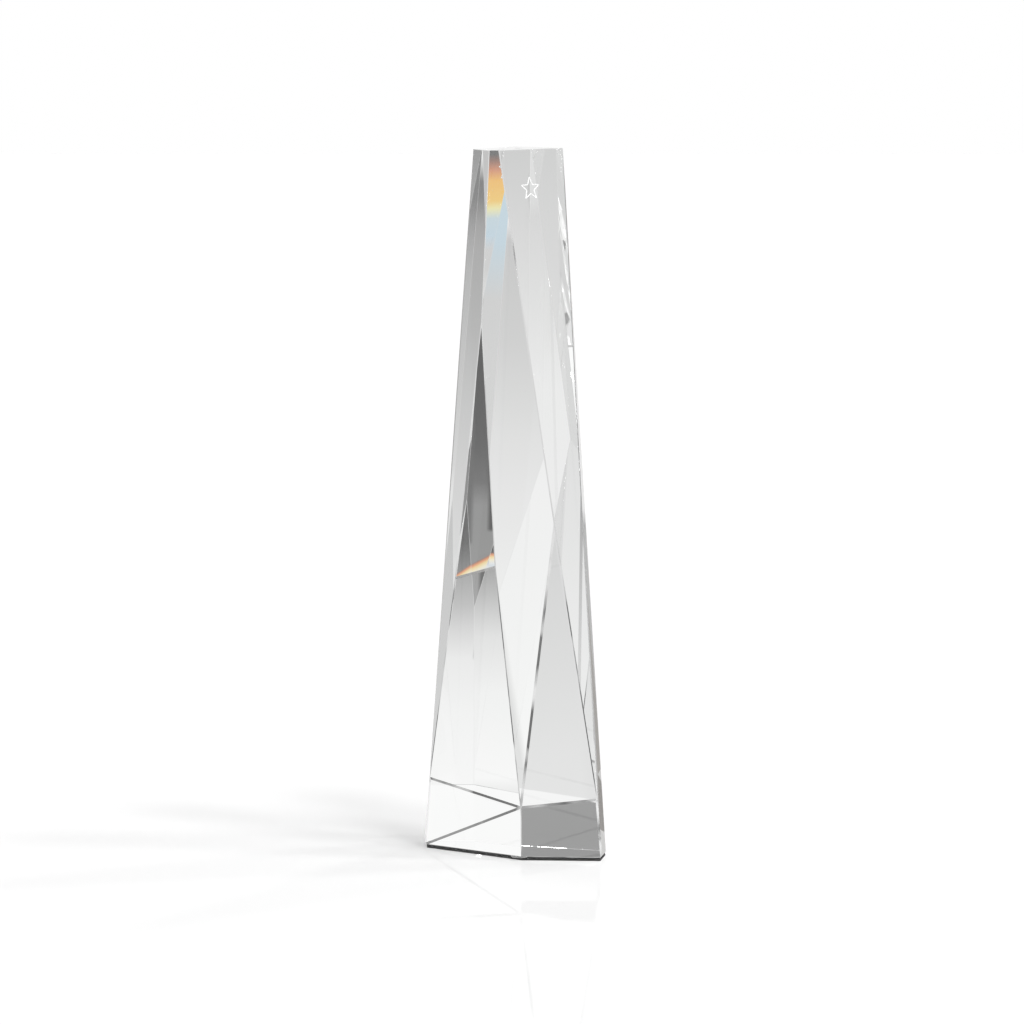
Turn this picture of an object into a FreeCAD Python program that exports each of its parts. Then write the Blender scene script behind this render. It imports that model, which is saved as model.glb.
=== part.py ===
"""Faceted crystal award: a ground and polished optical-crystal tower on clear bumper pads.

Millimetres, +Z up. The origin is on the ground, under the middle of the tower.
The tower is one block, ground flat facet by facet, so each facet is the plane through three
named ridge points. Heights in the sheet are counted from the tower's own underside, which
stands on the pads.
"""
import FreeCAD, Part
import math
import os

doc = FreeCAD.newDocument("crystal_award")
sheet = doc.addObject("Spreadsheet::Sheet", "sizes")

# ---------------------------------------------------------------- driving dimensions

SIZES = {
    "tower_height": 300,
    "blank_width": 90,
    "blank_depth": 80,
    "wheel_span": 900,
    "wheel_depth": 60,
    "pad_radius": 4,
    "pad_height": 1.5,
    "pad_dome": 1,
    "star_outer": 5,
    "star_inner": 2.1,
    "star_stroke": 0.4,
    "star_depth": 0.25,
}

# Corners of the small top face, counterclockwise from the left when seen from above.
TOP_POINTS = {
    "top_left": (-17.7, 1.4),
    "top_front_left": (-11.0, -10.8),
    "top_front_right": (-6.8, -11.2),
    "top_right": (20.4, 11.0),
    "top_back": (0.5, 24.0),
}

# Points at the underside. The first three are corners of the foot; the others aim the facets behind.
FOOT_POINTS = {
    "foot_left": (-38.9, 1.5),
    "foot_front": (2.8, -27.8),
    "foot_right": (38.9, -19.8),
    "foot_right_rear": (38.0, 14.0),
    "foot_left_rear": (-38.7, 16.2),
    "foot_back": (0.0, 18.4),
    "foot_back_left": (-22.0, 19.4),
    "back_kite_aim": (0.0, 29.5),
}

# Points where ridges meet between the foot and the top.
RIDGE_POINTS = {
    "front_knot": (2.4, -28.5, 21.5),
    "left_shoulder": (-36.8, -0.8, 29.4),
    "right_shoulder": (35.0, -30.5, 25.2),
    "dart_tip": (-14.3, -14.7, 228.3),
    "dart_left": (-25.4, -9.4, 117.0),
    "dart_right": (-8.2, -21.6, 123.9),
    "right_dart_tip": (17.4, -22.9, 140.3),
    "back_knot": (-8.0, 27.6, 24.0),
    "back_right_node": (15.7, 20.6, 173.0),
    "back_right_slope": (5.0, 25.2, 140.0),
    "back_ridge_node": (-10.8, 30.9, 150.0),
    "right_rear_shoulder": (37.0, 2.2, 20.0),
    "left_rear_shoulder": (-33.0, 20.7, 24.0),
}

# Each facet's three points run counterclockwise as seen from outside the crystal.
FACETS = {
    "FrontLeftFace": ("top_left", "left_shoulder", "top_front_left"),
    "FrontKite": ("top_front_left", "front_knot", "top_front_right"),
    "FrontRightFace": ("top_front_right", "right_shoulder", "top_right"),
    "LeftDart": ("dart_tip", "dart_left", "dart_right"),
    "LeftSkirt": ("dart_right", "left_shoulder", "front_knot"),
    "RightDart": ("right_dart_tip", "front_knot", "right_shoulder"),
    "HeelLeft": ("left_shoulder", "foot_left", "front_knot"),
    "HeelMiddle": ("front_knot", "foot_left", "foot_front"),
    "HeelRight": ("front_knot", "foot_front", "right_shoulder"),
    "RightFlank": ("top_right", "right_shoulder", "foot_right"),
    "LeftFlank": ("top_left", "foot_left", "left_shoulder"),
    "BackLeftFace": ("top_back", "foot_left_rear", "top_left"),
    "RightRearFlank": ("top_right", "foot_right", "foot_right_rear"),
    "BackRightFace": ("top_right", "back_right_node", "top_back"),
    "BackKite": ("top_back", "back_right_node", "back_kite_aim"),
    "BackRightSkirt": ("back_right_node", "back_knot", "back_right_slope"),
    "BackLeftSkirt": ("back_ridge_node", "back_knot", "left_rear_shoulder"),
    "BackHeelRight": ("back_knot", "right_rear_shoulder", "foot_back"),
    "BackHeelLeft": ("back_knot", "foot_back_left", "left_rear_shoulder"),
}

# Centres of the bumper pads under the foot.
PADS = {
    "bumper_pad_left": (-30.0, 8.5),
    "bumper_pad_front": (2.0, -20.0),
    "bumper_pad_right": (31.0, -14.0),
    "bumper_pad_back": (-6.0, 17.0),
}

# The etched star: where it sits on the front right face, and how many points it has.
STAR_CENTRE = (6.5, -3.6, 283.5)
STAR_FACE = "FrontRightFace"
STAR_POINTS = 5


def fill_sheet():
    """Writes every driving dimension into the sheet, one aliased plain number to a row."""
    cells = dict(SIZES)
    for name, (x, y) in TOP_POINTS.items():
        cells.update({name + "_x": x, name + "_y": y})
    for name, (x, y) in FOOT_POINTS.items():
        cells.update({name + "_x": x, name + "_y": y})
    for name, (x, y, z) in RIDGE_POINTS.items():
        cells.update({name + "_x": x, name + "_y": y, name + "_z": z})
    for name, (x, y) in PADS.items():
        cells.update({name + "_x": x, name + "_y": y})
    for name, value in zip(("star_x", "star_y", "star_z"), STAR_CENTRE):
        cells[name] = value
    for row, (alias, value) in enumerate(cells.items(), start=1):
        sheet.set(f"A{row}", alias)
        sheet.set(f"B{row}", str(value))
        sheet.setAlias(f"B{row}", alias)
    doc.recompute()


def vector(x, y, z):
    """An expression for a vector."""
    return f"create(<<vector>>; {x}; {y}; {z})"


def point(name):
    """An expression for a named ridge point, read from the sheet."""
    if name in TOP_POINTS:
        height = "sizes.tower_height"
    elif name in FOOT_POINTS:
        height = "0"
    else:
        height = f"sizes.{name}_z"
    return vector(f"sizes.{name}_x", f"sizes.{name}_y", height)


def outward(facet):
    """An expression for a facet's outward normal, of no particular length."""
    a, b, c = (point(name) for name in FACETS[facet])
    return f"vcross({b} - {a}; {c} - {a})"


def grinding_block(facet):
    """A block that lies against a facet's plane from outside: cutting it grinds the facet."""
    block = doc.addObject("Part::Box", facet)
    block.setExpression("Length", "sizes.wheel_span")
    block.setExpression("Width", "sizes.wheel_span")
    block.setExpression("Height", "sizes.wheel_depth")
    turn = f"create(<<rotation>>; {vector(0, 0, 1)}; {outward(facet)})"
    no_turn = f"create(<<rotation>>; {vector(0, 0, 1)}; 0)"
    centring = vector("-sizes.wheel_span / 2", "-sizes.wheel_span / 2", 0)
    on_plane = f"create(<<placement>>; {point(FACETS[facet][0])}; {turn})"
    centred = f"create(<<placement>>; {centring}; {no_turn})"
    block.setExpression("Placement", f"{on_plane} * {centred}")
    return block


def cut(base, tool, name):
    """base with tool taken away."""
    result = doc.addObject("Part::Cut", name)
    result.Base = base
    result.Tool = tool
    return result


def tower_blank():
    """The sawn block that the tower is ground from."""
    blank = doc.addObject("Part::Box", "Blank")
    blank.setExpression("Length", "sizes.blank_width")
    blank.setExpression("Width", "sizes.blank_depth")
    blank.setExpression("Height", "sizes.tower_height")
    blank.setExpression("Placement.Base.x", "-sizes.blank_width / 2")
    blank.setExpression("Placement.Base.y", "-sizes.blank_depth / 2")
    return blank


def etched_star():
    """The strokes of a plain star outline, half sunk into the front right face."""
    outer, inner = sheet.star_outer, sheet.star_inner
    half_angle = math.pi / STAR_POINTS
    run, rise = outer - inner * math.cos(half_angle), inner * math.sin(half_angle)
    slant = math.degrees(math.atan2(rise, run))
    strokes = []
    for number in range(STAR_POINTS):
        heading = 90 + number * 360 / STAR_POINTS
        tip = FreeCAD.Vector(outer * math.cos(math.radians(heading)),
                             outer * math.sin(math.radians(heading)), 0)
        for side in (-1, 1):
            stroke = doc.addObject("Part::Box", "Stroke")
            stroke.Length = math.hypot(run, rise)
            stroke.setExpression("Width", "sizes.star_stroke")
            stroke.setExpression("Height", "2 * sizes.star_depth")
            turn = FreeCAD.Rotation(FreeCAD.Vector(0, 0, 1), heading + 180 + side * slant)
            centring = FreeCAD.Vector(0, -sheet.star_stroke / 2, -sheet.star_depth)
            stroke.Placement = FreeCAD.Placement(tip + turn.multVec(centring), turn)
            strokes.append(stroke)
    star = doc.addObject("Part::MultiFuse", "EtchedStar")
    star.Shapes = strokes
    centre = vector("sizes.star_x", "sizes.star_y", "sizes.star_z")
    corner = point(FACETS[STAR_FACE][0])
    normal = f"vnormalize({outward(STAR_FACE)})"
    on_face = f"{centre} + {normal} * vdot({corner} - {centre}; {normal})"
    level = f"vcross({vector(0, 0, 1)}; {normal})"
    turn = f"create(<<rotation>>; {level}; {vector(0, 0, 1)}; {normal}; <<ZXY>>)"
    star.setExpression("Placement", f"create(<<placement>>; {on_face}; {turn})")
    return star


def crystal_tower():
    """The blank, ground facet by facet, then etched, and set down on the pads."""
    solid = tower_blank()
    for facet in FACETS:
        solid = cut(solid, grinding_block(facet), facet + "Ground")
    tower = cut(solid, etched_star(), "Tower")
    tower.Label = "crystal_tower"
    tower.setExpression("Placement.Base.z", "sizes.pad_height")
    return tower


def bumper_pad(label):
    """A clear self-adhesive pad: a disc with a domed underside, its flat top on the crystal."""
    disc = doc.addObject("Part::Cylinder", "Disc")
    disc.setExpression("Radius", "sizes.pad_radius")
    disc.setExpression("Height", "sizes.pad_height")
    disc.setExpression("Placement.Base.x", f"sizes.{label}_x")
    disc.setExpression("Placement.Base.y", f"sizes.{label}_y")
    doc.recompute()
    pad = doc.addObject("Part::Fillet", "Pad")
    pad.Base = disc
    rims = [
        number for number, edge in enumerate(disc.Shape.Edges, start=1)
        if edge.Closed and abs(edge.BoundBox.ZMax) < 1e-6
    ]
    pad.Edges = [(number, sheet.pad_dome, sheet.pad_dome) for number in rims]
    pad.Label = label
    return pad


def failed(obj):
    """True if the document could not make this object."""
    return "Invalid" in obj.State or "Error" in obj.State


fill_sheet()
parts = [crystal_tower()] + [bumper_pad(label) for label in PADS]
doc.recompute()

broken = [obj.Label for obj in doc.Objects if failed(obj)]
if broken:
    raise SystemExit(f"objects failed: {broken}")

os.makedirs("parts", exist_ok=True)
for part in parts:
    if part.Shape.isNull() or not part.Shape.isValid() or len(part.Shape.Solids) != 1:
        raise SystemExit(f"{part.Label} is not one valid solid")
    part.Shape.exportStep(f"parts/{part.Label}.step")
    box = part.Shape.BoundBox
    print(f"{part.Label}: {part.Shape.Volume:.0f} mm3, {len(part.Shape.Faces)} faces, "
          f"x {box.XMin:.2f} to {box.XMax:.2f}, y {box.YMin:.2f} to {box.YMax:.2f}, "
          f"z {box.ZMin:.2f} to {box.ZMax:.2f}")
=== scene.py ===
"""Looks for the crystal award: polished optical crystal with a frosted star, on bumper pads.

Metres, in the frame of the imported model: +Z up, -Y to the front, the floor at z = 0.
"""

import math

import bmesh
import bpy
from mathutils import Matrix, Vector


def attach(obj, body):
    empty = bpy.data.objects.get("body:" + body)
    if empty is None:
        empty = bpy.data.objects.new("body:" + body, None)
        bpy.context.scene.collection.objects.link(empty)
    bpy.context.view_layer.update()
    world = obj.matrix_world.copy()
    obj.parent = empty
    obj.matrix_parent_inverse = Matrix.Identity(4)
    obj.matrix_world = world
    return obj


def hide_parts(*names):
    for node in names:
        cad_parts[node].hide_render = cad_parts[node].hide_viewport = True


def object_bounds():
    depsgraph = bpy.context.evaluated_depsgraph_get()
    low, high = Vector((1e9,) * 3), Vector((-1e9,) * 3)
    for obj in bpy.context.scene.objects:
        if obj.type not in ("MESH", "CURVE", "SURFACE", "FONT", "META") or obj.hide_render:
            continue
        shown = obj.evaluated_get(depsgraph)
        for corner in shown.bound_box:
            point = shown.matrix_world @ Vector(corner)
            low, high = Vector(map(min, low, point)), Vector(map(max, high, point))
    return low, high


MM = 0.001

# ---------------------------------------------------------------- crystal
REFRACTIVE_INDEX = 1.52
# Widths of the arrises, the fine chamfers ground along the tower's edges. The first two are on the
# front: where two facets meet almost flat, and where they don't.
GENTLE_ARRIS = 0.55 * MM
SHARP_ARRIS = 0.24 * MM
OUTLINE_ARRIS = 0.8 * MM  # along the two narrow flanks
BACK_ARRIS = 0.06 * MM
GENTLE_RIDGE = math.radians(8)
FLANK_FACING = 0.9  # a flank's normal points at least this much to one side
SHORTEST_RIDGE = 6 * MM  # shorter edges belong to the etched star and stay sharp
SMALLEST_RIDGE = math.radians(0.8)  # faces that meet flatter than this are one facet
STAR_CENTRE = Vector((6.5, -3.6, 285.0)) * MM
STAR_REACH = 7 * MM
STAR_SINK = 0.05 * MM  # the star's own faces all lie further than this below its facet
STAR_GLOW = 0.2  # stands in for the light that reaches the frosting through the crystal
# Painted light and shade on the arrises, from the foot of the tower to its top: dark low down, bright
# near the top.
ARRIS_PAINTED_LIGHT_RISE = [(0.0, 70), (0.015, 90), (0.03, 90), (0.06, 60), (0.09, 35), (0.36, 60),
              (0.44, 225), (1.0, 250)]
ARRIS_ROUGHNESS = 0.12
# The same painted light and shade for the arrises that face sideways, along the outline: bright low
# down, dark near the top.
SIDE_PAINTED_LIGHT_RISE = [(0.0, 240), (0.2, 215), (0.42, 150), (0.55, 84), (1.0, 76)]


# ---------------------------------------------------------------- bumper pads
PAD_INDEX = 1.49
PAD_ROUGHNESS = 0.25
PAD_SQUEEZE = 0.97  # how much of its full height a pad keeps

# ---------------------------------------------------------------- camera
CAMERA_PLACE = Vector((-1.3, -2126.5, 405.7)) * MM
CAMERA_PITCH = math.radians(6.955)
CAMERA_LENS = 175.8
SENSOR_WIDTH = 36.0
CLIP_END = 100.0

# ---------------------------------------------------------------- studio
WHITE = (1.0, 1.0, 1.0, 1.0)
AMBIENT = (0.5, 0.5, 0.5, 1.0)  # what matt surfaces get from all round
FLOOR_SIZE = 12.0
FLOOR_COLOUR = (0.95, 0.95, 0.95, 1.0)
FLOOR_POLISH = 0.14
FLOOR_ROUGHNESS = 0.04
FOOT_SHADE_TONE = 84
FOOT_SHADE_HEIGHT = 0.1 * MM
# The key lights stand on the right. Azimuth, from +Y towards +X, elevation and spread are in degrees.
KEY_LIGHTS = [
    {"azimuth": 40, "elevation": 52, "strength": 0.26, "spread": 6},
    {"azimuth": 68, "elevation": 52, "strength": 0.3, "spread": 6},
    {"azimuth": 95, "elevation": 54, "strength": 0.42, "spread": 8},
    {"azimuth": 120, "elevation": 58, "strength": 0.55, "spread": 9},
    {"azimuth": 145, "elevation": 62, "strength": 0.62, "spread": 10},
]


def linear(value):
    """A display value from 0 to 255 as scene-linear light."""
    share = value / 255
    if share <= 0.04045:
        return share / 12.92
    return ((share + 0.055) / 1.055) ** 2.4


def colour(tone):
    """A colour from one display value for grey, or from three for red, green and blue."""
    parts = tone if isinstance(tone, tuple) else (tone, tone, tone)
    return tuple(linear(part) for part in parts) + (1.0,)


# The studio's pale walls, seen through the crystal: tones by height, from straight down to
# straight up.
STUDIO_RISE = [(0.0, 205), (0.26, 214), (0.43, 226), (0.455, 222), (0.472, 250), (0.5, 255), (0.56, 255),
               (0.6, 252), (1.0, 240)]


def card(name, azimuth, elevation, width, height, tones, soft=0.3, roll=0.0):
    """A card in the studio. It shows only through the crystal, or mirrored in something glossy.

    Its middle is given by its direction: azimuth from +Y towards +X, and elevation. These, its
    width and height, the softness of its edges and its roll are in degrees. Its tones run from
    its bottom to its top.
    """
    return {"name": name, "azimuth": azimuth, "elevation": elevation, "width": width,
            "height": height, "soft": soft, "roll": roll, "tones": tones}


# Tones where dispersion shows, from the bottom of the card to its top.
DART_SPECTRUM = [(0.0, (205, 214, 222)), (0.25, (226, 229, 230)), (0.5, (240, 232, 205)),
                 (0.7, (238, 214, 160)), (0.85, (226, 158, 120)), (1.0, (160, 120, 104))]
KITE_SPECTRUM = [(0.0, 205), (0.2, 205), (0.3, (193, 212, 224)), (0.42, (195, 212, 220)),
                 (0.49, (236, 229, 170)), (0.54, (240, 200, 108)), (0.68, (240, 188, 100)),
                 (0.75, (212, 145, 110)), (0.81, (150, 112, 98)), (0.86, 98), (1.0, 96)]


# Each card stands where one or a few pairs of facets turn the camera's view to, so it sets their
# tone from there. From other sides the cards show in other facets, or not at all.
CARDS = [
    # mirrored in the narrow flanks, at a grazing angle
    card("left_flank_dark", -1.3, -7.5, 2.4, 8.6,
         [(0.0, 225), (0.35, 215), (0.5, 190), (0.64, 130), (1.0, 96)]),
    card("right_flank_dark", 20.4, -7.8, 1.4, 4.6, [(0.0, (104, 98, 92)), (1.0, 104)], soft=0.2),
    # behind the crystal, from the left round to the right
    card("flank_glow", -100, -10.5, 50, 3.0, [(0.0, 238), (1.0, 222)], soft=1.0),
    card("right_glow", -41, -11.2, 8, 3.6, [(0.0, 238), (0.4, 236), (1.0, 210)]),
    card("right_dart_grey", -17.5, -9.2, 4.1, 4.0, [(0.0, 229), (0.3, 225), (1.0, 204)], soft=0.1),
    card("kite_white", -13.87, -8.7, 3.2, 4.0, [(0.0, 250), (1.0, 238)], soft=0.1, roll=8),
    card("heel_grey", -16.0, -3.0, 5.0, 3.0, [(0.0, 158), (0.4, 146), (1.0, 152)]),
    card("heel_mirror_grey", -17.5, 16.5, 5.0, 6.0, [(0.0, 152), (1.0, 128)]),
    card("kite_glow", -8.9, -8.2, 5.0, 4.4, [(0.0, 242), (0.45, 224), (0.7, 207), (1.0, 198)]),
    card("skirt_right_fade", 4.0, -7.2, 4.6, 3.2,
         [(0.0, 250), (0.35, 243), (0.55, 226), (0.7, 188), (0.8, 160), (1.0, 148)]),
    card("dark_flag", 9.9, -7.0, 2.0, 4.6,
         [(0.0, 150), (0.27, 140), (0.33, 104), (0.42, 84), (0.6, 70), (1.0, 70)], soft=0.06),
    card("right_face_grey", 16.7, -13.1, 3.0, 2.4, [(0.0, 228), (0.5, 212), (1.0, 198)]),
    card("edge_grey", 22.0, -7.3, 2.0, 1.6, [(0.0, 190), (1.0, 186)]),
    card("left_face_grey", 28.0, -8.7, 3.4, 4.6,
         [(0.0, 216), (0.4, 192), (0.6, 172), (0.8, 160), (0.86, 150), (0.93, 112), (1.0, 105)]),
    card("skirt_left_fade", 30.9, -7.3, 1.8, 3.0,
         [(0.0, 250), (0.3, 245), (0.5, 236), (0.62, 212), (0.7, 190), (0.85, 160), (1.0, 150)],
         soft=0.1),
    card("skirt_tip_grey", 8.72, -8.2, 0.34, 0.9, [(0.0, 176), (0.6, 160), (1.0, 150)], soft=0.05),
    card("dart_corner_dark", 31.0, -6.8, 0.3, 1.0, [(0.0, 150), (0.5, 92), (1.0, 80)], soft=0.05),
    card("dart_left_dark", 8.9, -7.75, 0.14, 1.5, [(0.0, 110), (1.0, 88)], soft=0.04),
    card("dart_right_dark", 9.21, -7.75, 0.15, 1.2, [(0.0, 80), (1.0, 70)], soft=0.04),
    card("dart_edge_dark", 4.25, -6.7, 0.24, 0.7, [(0.0, 84), (1.0, 76)], soft=0.05),
    card("stripe_grey", 61.4, -10.5, 3.0, 1.4, [(0.0, 165), (0.5, 138), (1.0, 120)]),
    card("left_edge_grey", 71.8, -11.4, 5.0, 4.0,
         [(0.0, 210), (0.35, 186), (0.6, 170), (0.7, 150), (0.8, 108), (1.0, 92)]),
    # in front of it, on the camera's side
    card("dart_return_dark", 136.5, -18.4, 2.5, 2.0, [(0.0, 150), (1.0, 105)]),
    card("kite_return_grey", 148.4, -22.6, 3.0, 4.4,
         [(0.0, 214), (0.6, 206), (0.76, (195, 212, 222)), (0.9, (196, 214, 224)), (1.0, 235)]),
    card("rear_flank_grey", 150.6, -9.7, 3.0, 3.0, [(0.0, 206), (1.0, 184)]),
    card("front_grey", 173.6, -26.3, 6.0, 2.6, [(0.0, 219), (1.0, 204)]),
    card("right_edge_grey", -160.0, -10.0, 16.0, 12.0, [(0.0, (190, 185, 180)), (1.0, 176)]),
    card("right_foot_grey", -150.5, 4.5, 8.0, 6.0, [(0.0, (170, 165, 160)), (1.0, 168)]),
    # coloured strips that stand in for dispersion, which the renderer doesn't trace
    card("dart_spectrum", 9.1, -8.76, 0.7, 0.16, DART_SPECTRUM, soft=0.02, roll=31),
    card("corner_spectrum", 31.0, -7.17, 0.28, 0.14, DART_SPECTRUM, soft=0.02, roll=33),
    card("edge_spectrum", 4.22, -7.0, 0.18, 0.16, DART_SPECTRUM, soft=0.02),
    card("kite_spectrum", -163.4, -27.3, 3.0, 2.0, KITE_SPECTRUM),
]


class Nodes:
    """Adds nodes to a tree, and links their inputs, in one call each."""

    def __init__(self, tree):
        self.tree = tree
        tree.nodes.clear()

    def add(self, kind, inputs=None, **settings):
        """A node of this kind. An input is given a value, or the output that feeds it."""
        node = self.tree.nodes.new(kind)
        for name, value in settings.items():
            setattr(node, name, value)
        for name, value in (inputs or {}).items():
            if isinstance(value, bpy.types.NodeSocket):
                self.tree.links.new(value, node.inputs[name])
            else:
                node.inputs[name].default_value = value
        return node

    def math(self, operation, first, second=0.0):
        """The result of a Math node."""
        return self.add("ShaderNodeMath", {0: first, 1: second}, operation=operation).outputs[0]

    def multiply_add(self, value, by, plus):
        """value times by, plus plus, kept between 0 and 1."""
        inputs = {0: value, 1: by, 2: plus}
        node = self.add("ShaderNodeMath", inputs, operation="MULTIPLY_ADD", use_clamp=True)
        return node.outputs[0]

    def mix(self, factor, first, second):
        """The result of mixing two colours."""
        inputs = {"Factor": factor, 6: first, 7: second}
        return self.add("ShaderNodeMix", inputs, data_type="RGBA").outputs[2]

    def ramp(self, factor, stops):
        """The result of a Color Ramp node with these (position, tone) stops."""
        node = self.add("ShaderNodeValToRGB", {"Fac": factor})
        elements = node.color_ramp.elements
        while len(elements) < len(stops):
            elements.new(1.0)
        for element, (position, tone) in zip(elements, stops):
            element.position = position
            element.color = colour(tone)
        return node.outputs["Color"]


def add_card(nodes, base, azimuth, elevation, placed):
    """Lays one card, placed as CARDS says, over the colours of the studio so far."""
    roll = math.radians(placed["roll"])
    aside = nodes.math("SUBTRACT", azimuth, placed["azimuth"])
    above = nodes.math("SUBTRACT", elevation, placed["elevation"])
    across = nodes.math("ADD", nodes.math("MULTIPLY", aside, math.cos(roll)),
                        nodes.math("MULTIPLY", above, math.sin(roll)))
    along = nodes.math("SUBTRACT", nodes.math("MULTIPLY", above, math.cos(roll)),
                       nodes.math("MULTIPLY", aside, math.sin(roll)))
    covers = []
    for place, size in ((across, placed["width"]), (along, placed["height"])):
        inside = nodes.math("SUBTRACT", size / 2, nodes.math("ABSOLUTE", place))
        covers.append(nodes.multiply_add(inside, 1 / placed["soft"], 0.5))
    cover = nodes.math("MULTIPLY", *covers)
    height = nodes.multiply_add(along, 1 / placed["height"], 0.5)
    return nodes.mix(cover, base, nodes.ramp(height, placed["tones"]))


def make_world():
    """White to the camera and even to matt surfaces, with walls and cards for the crystal.

    Only rays that have gone through the crystal, or off something glossy, see the pale walls and
    the cards.
    """
    world = bpy.data.worlds.new("studio")
    bpy.context.scene.world = world
    world.use_nodes = True
    nodes = Nodes(world.node_tree)
    direction = nodes.add("ShaderNodeTexCoord").outputs["Generated"]
    axes = nodes.add("ShaderNodeSeparateXYZ", {"Vector": direction})
    turn = nodes.math("ARCTAN2", axes.outputs["X"], axes.outputs["Y"])
    azimuth = nodes.math("MULTIPLY", turn, math.degrees(1))
    rise = nodes.math("ARCSINE", axes.outputs["Z"])
    elevation = nodes.math("MULTIPLY", rise, math.degrees(1))
    height = nodes.multiply_add(elevation, 1 / 180, 0.5)
    seen = nodes.ramp(height, STUDIO_RISE)
    for placed in CARDS:
        seen = add_card(nodes, seen, azimuth, elevation, placed)
    path = nodes.add("ShaderNodeLightPath")
    plain = nodes.mix(path.outputs["Is Diffuse Ray"], WHITE, AMBIENT)
    by_crystal = nodes.math("MAXIMUM", path.outputs["Is Transmission Ray"],
                            path.outputs["Is Glossy Ray"])
    light = nodes.mix(by_crystal, plain, seen)
    background = nodes.add("ShaderNodeBackground", {"Color": light, "Strength": 1.0})
    nodes.add("ShaderNodeOutputWorld", {"Surface": background.outputs[0]})


def make_camera():
    """A long lens in front, a little higher than the tower and tilted down."""
    data = bpy.data.cameras.new("camera")
    data.lens = CAMERA_LENS
    data.sensor_width = SENSOR_WIDTH
    data.clip_end = CLIP_END
    camera = bpy.data.objects.new("camera", data)
    camera.location = CAMERA_PLACE
    camera.rotation_euler = (math.pi / 2 - CAMERA_PITCH, 0, 0)
    bpy.context.collection.objects.link(camera)
    bpy.context.scene.camera = camera


def make_floor():
    """A pale glossy floor."""
    mesh = bpy.data.meshes.new("floor")
    half = FLOOR_SIZE / 2
    corners = [(-half, -half, 0), (half, -half, 0), (half, half, 0), (-half, half, 0)]
    mesh.from_pydata(corners, [], [(0, 1, 2, 3)])
    floor = bpy.data.objects.new("floor", mesh)
    bpy.context.collection.objects.link(floor)
    material = bpy.data.materials.new("floor_white")
    material.use_nodes = True
    nodes = Nodes(material.node_tree)
    matt = nodes.add("ShaderNodeBsdfDiffuse", {"Color": FLOOR_COLOUR})
    polish = nodes.add("ShaderNodeBsdfGlossy", {"Color": WHITE, "Roughness": FLOOR_ROUGHNESS})
    surface = nodes.add("ShaderNodeMixShader", {0: FLOOR_POLISH, 1: matt.outputs[0],
                                                2: polish.outputs[0]})
    nodes.add("ShaderNodeOutputMaterial", {"Surface": surface.outputs[0]})
    mesh.materials.append(material)
    floor.visible_transmission = False
    floor.visible_glossy = False


def make_foot_shade(node):
    """A dark sheet on the floor under the foot: the shade that shows in the low gap there."""
    underside = max((face for face in node.data.polygons if face.normal.z < -0.99),
                    key=lambda face: face.area)
    outline = [node.data.vertices[index].co for index in underside.vertices]
    mesh = bpy.data.meshes.new("foot_shade")
    mesh.from_pydata([(point.x, point.y, FOOT_SHADE_HEIGHT) for point in outline], [],
                     [range(len(outline))])
    shade = bpy.data.objects.new("foot_shade", mesh)
    bpy.context.collection.objects.link(shade)
    material = bpy.data.materials.new("floor_shade")
    material.use_nodes = True
    nodes = Nodes(material.node_tree)
    surface = nodes.add("ShaderNodeBsdfDiffuse", {"Color": colour(FOOT_SHADE_TONE)})
    nodes.add("ShaderNodeOutputMaterial", {"Surface": surface.outputs[0]})
    mesh.materials.append(material)
    shade.visible_transmission = False
    shade.visible_glossy = False


def make_key_light(azimuth, elevation, strength, spread):
    """A soft light from far off, high on the right, so that the shadow falls to the left."""
    data = bpy.data.lights.new("key", "SUN")
    data.energy = strength
    data.angle = math.radians(spread)
    light = bpy.data.objects.new("key", data)
    across, along = math.sin(math.radians(azimuth)), math.cos(math.radians(azimuth))
    level, up = math.cos(math.radians(elevation)), math.sin(math.radians(elevation))
    place = Vector((level * across, level * along, up))
    light.rotation_euler = (-place).to_track_quat("-Z", "Y").to_euler()
    bpy.context.collection.objects.link(light)


def crystal_material():
    """Clear polished optical crystal, with the faintest uneven tint."""
    material = bpy.data.materials.new("polished_crystal")
    material.use_nodes = True
    nodes = Nodes(material.node_tree)
    place = nodes.add("ShaderNodeTexCoord").outputs["Object"]
    cloud = nodes.add("ShaderNodeTexNoise", {"Vector": place, "Scale": 22.0, "Detail": 1.0})
    tint = nodes.ramp(cloud.outputs[0], [(0.3, (253, 254, 253)), (0.7, 255)])
    surface = nodes.add("ShaderNodeBsdfPrincipled", {
        "Base Color": tint, "Roughness": 0.0, "IOR": REFRACTIVE_INDEX,
        "Transmission Weight": 1.0,
    })
    nodes.add("ShaderNodeOutputMaterial", {"Surface": surface.outputs[0]})
    return material


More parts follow.
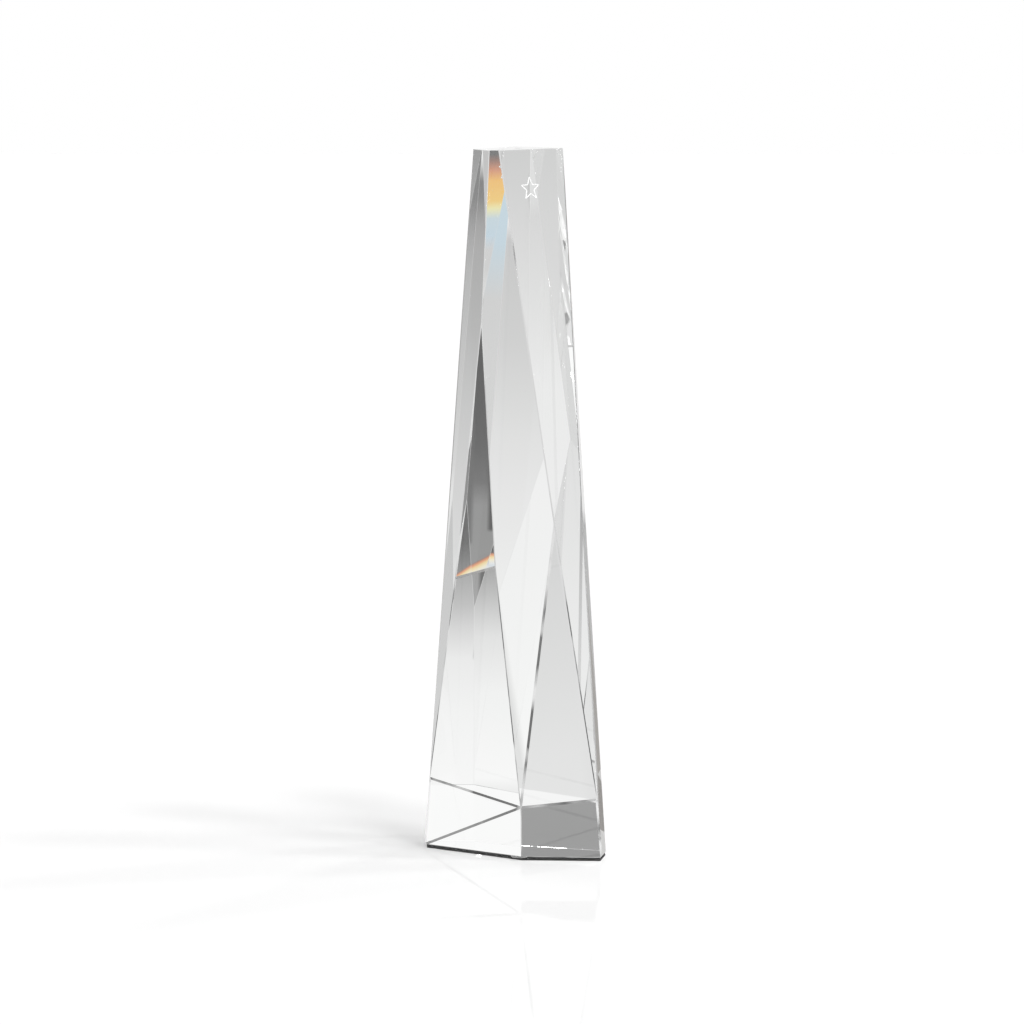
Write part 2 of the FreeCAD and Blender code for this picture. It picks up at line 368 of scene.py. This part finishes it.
def arris_material(top):
    """The narrow arrises, with painted light and shade: dark low on the tower, bright towards the top,
    their own ramp where they face sideways, and uneven along their length.
    """
    material = bpy.data.materials.new("ground_arris_painted_light")
    material.use_nodes = True
    nodes = Nodes(material.node_tree)
    coordinates = nodes.add("ShaderNodeTexCoord").outputs
    place = coordinates["Object"]
    height = nodes.add("ShaderNodeSeparateXYZ", {"Vector": place}).outputs["Z"]
    rise = nodes.multiply_add(height, 1 / top, 0.0)
    # painted light and shade by height: dark low on the tower, bright near the top
    painted_by_height = nodes.ramp(rise, ARRIS_PAINTED_LIGHT_RISE)
    streak = nodes.add("ShaderNodeTexNoise", {"Vector": place, "Scale": 45.0, "Detail": 2.0})
    clear = nodes.multiply_add(streak.outputs[0], 6.0, -3.1)
    # arrises that face sideways get their own painted light and shade, also ramped by height
    across = nodes.add("ShaderNodeSeparateXYZ", {"Vector": coordinates["Normal"]}).outputs["X"]
    side = nodes.multiply_add(nodes.math("ABSOLUTE", across), 12.0, -9.4)
    front = nodes.mix(clear, painted_by_height, colour(248))
    tone = nodes.mix(side, front, nodes.ramp(rise, SIDE_PAINTED_LIGHT_RISE))
    surface = nodes.add("ShaderNodeBsdfPrincipled", {
        "Base Color": tone, "Roughness": ARRIS_ROUGHNESS, "IOR": REFRACTIVE_INDEX,
        "Transmission Weight": 1.0,
    })
    nodes.add("ShaderNodeOutputMaterial", {"Surface": surface.outputs[0]})
    return material


def frosted_material():
    """The etched floor of the star's strokes: frosted white, with a fine grain."""
    material = bpy.data.materials.new("frosted_etch")
    material.use_nodes = True
    nodes = Nodes(material.node_tree)
    place = nodes.add("ShaderNodeTexCoord").outputs["Object"]
    grain = nodes.add("ShaderNodeTexNoise", {"Vector": place, "Scale": 9000.0, "Detail": 2.0})
    tone = nodes.ramp(grain.outputs[0], [(0.3, 236), (0.7, 252)])
    relief = nodes.add("ShaderNodeBump", {"Height": grain.outputs[0], "Distance": 0.02 * MM,
                                          "Strength": 0.4})
    surface = nodes.add("ShaderNodeBsdfPrincipled", {
        "Base Color": tone, "Roughness": 0.65, "IOR": REFRACTIVE_INDEX,
        "Normal": relief.outputs[0], "Emission Color": WHITE, "Emission Strength": STAR_GLOW,
    })
    nodes.add("ShaderNodeOutputMaterial", {"Surface": surface.outputs[0]})
    return material


def pad_material():
    """Clear polyurethane, cast with a slightly uneven skin, tinted grey as painted shade so the pads
    read dark in the shaded gap under the foot.
    """
    material = bpy.data.materials.new("clear_polyurethane")
    material.use_nodes = True
    nodes = Nodes(material.node_tree)
    place = nodes.add("ShaderNodeTexCoord").outputs["Object"]
    skin = nodes.add("ShaderNodeTexNoise", {"Vector": place, "Scale": 1600.0, "Detail": 2.0})
    # painted shade: the grey makes the clear pads read dark in the shaded gap under the foot
    tone = nodes.ramp(skin.outputs[0], [(0.3, 150), (0.7, 172)])
    relief = nodes.add("ShaderNodeBump", {"Height": skin.outputs[0], "Distance": 0.02 * MM,
                                          "Strength": 0.3})
    surface = nodes.add("ShaderNodeBsdfPrincipled", {
        "Base Color": tone, "Roughness": PAD_ROUGHNESS, "IOR": PAD_INDEX,
        "Transmission Weight": 1.0,
        "Normal": relief.outputs[0],
    })
    nodes.add("ShaderNodeOutputMaterial", {"Surface": surface.outputs[0]})
    return material


def make_pad(name, node, material):
    """A bumper pad, a hair lower than its space, so that its top and the crystal don't coincide."""
    mesh = node.data.copy()
    mesh.transform(Matrix.Scale(PAD_SQUEEZE, 4, Vector((0, 0, 1))))
    mesh.materials.clear()
    mesh.materials.append(material)
    pad = bpy.data.objects.new("clear_" + name, mesh)
    bpy.context.collection.objects.link(pad)
    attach(pad, "root")
    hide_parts(name)


def arris_width(edge):
    """How wide the arris along this edge of the tower is."""
    if edge.calc_length() < SHORTEST_RIDGE or edge.calc_face_angle(0.0) < SMALLEST_RIDGE:
        return 0.0
    if max(face.normal.y for face in edge.link_faces) > 0.001:
        return BACK_ARRIS
    if max(abs(face.normal.x) for face in edge.link_faces) > FLANK_FACING:
        return OUTLINE_ARRIS
    if edge.calc_face_angle() < GENTLE_RIDGE:
        return GENTLE_ARRIS
    return SHARP_ARRIS


def clean_facets(node):
    """The tower's own shape as flat facets, with the width of each edge's arris beside it."""
    shape = bmesh.new()
    shape.from_mesh(node.data)
    bmesh.ops.remove_doubles(shape, verts=shape.verts, dist=0.001 * MM)
    bmesh.ops.dissolve_limit(shape, angle_limit=SMALLEST_RIDGE / 4, verts=shape.verts,
                             edges=shape.edges, use_dissolve_boundaries=False)
    weight = shape.edges.layers.float.new("bevel_weight_edge")
    for edge in shape.edges:
        edge[weight] = arris_width(edge) / OUTLINE_ARRIS
    mesh = bpy.data.meshes.new("facets")
    shape.to_mesh(mesh)
    shape.free()
    return mesh


def frost_star(mesh):
    """Gives the faces sunk into the star's facet the frosting, and the back arrises clear crystal."""
    star_facet = max((face for face in mesh.polygons if 0.5 < face.normal.x < 0.8),
                     key=lambda face: face.area)
    for face in mesh.polygons:
        sink = (star_facet.center - face.center).dot(star_facet.normal)
        if (face.center - STAR_CENTRE).length < STAR_REACH and sink > STAR_SINK:
            face.material_index = 2
        elif face.normal.y > 0:
            face.material_index = 0


def make_tower(node, top):
    """The ground crystal, with a fine arris along every edge and a frosted star."""
    facets = bpy.data.objects.new("facets", clean_facets(node))
    bpy.context.collection.objects.link(facets)
    for material in (crystal_material(), arris_material(top), frosted_material()):
        facets.data.materials.append(material)
    arris = facets.modifiers.new("arris", "BEVEL")
    arris.limit_method = "WEIGHT"
    arris.width = OUTLINE_ARRIS
    arris.segments = 1
    arris.use_clamp_overlap = False
    arris.material = 1
    depsgraph = bpy.context.evaluated_depsgraph_get()
    mesh = bpy.data.meshes.new_from_object(facets.evaluated_get(depsgraph))
    bpy.data.objects.remove(facets)
    frost_star(mesh)
    mesh.shade_flat()
    tower = bpy.data.objects.new("polished_tower", mesh)
    bpy.context.collection.objects.link(tower)
    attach(tower, "root")
    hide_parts("crystal_tower")


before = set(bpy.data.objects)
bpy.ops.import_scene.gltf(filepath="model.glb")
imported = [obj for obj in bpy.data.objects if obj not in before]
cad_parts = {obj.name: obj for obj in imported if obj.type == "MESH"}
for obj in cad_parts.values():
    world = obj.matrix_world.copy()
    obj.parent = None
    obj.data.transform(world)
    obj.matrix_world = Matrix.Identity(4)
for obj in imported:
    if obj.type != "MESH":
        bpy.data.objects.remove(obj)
cad_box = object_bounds()

make_camera()
make_world()
make_floor()
for key_light in KEY_LIGHTS:
    make_key_light(**key_light)
make_tower(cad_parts["crystal_tower"], cad_box[1][2])
make_foot_shade(bpy.data.objects["polished_tower"])
pads = pad_material()
for name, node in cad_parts.items():
    if name.startswith("bumper_pad"):
        make_pad(name, node, pads)

scene = bpy.context.scene
scene.view_settings.view_transform = "Standard"
scene.cycles.max_bounces = 64
scene.cycles.transmission_bounces = 64
scene.cycles.glossy_bounces = 64
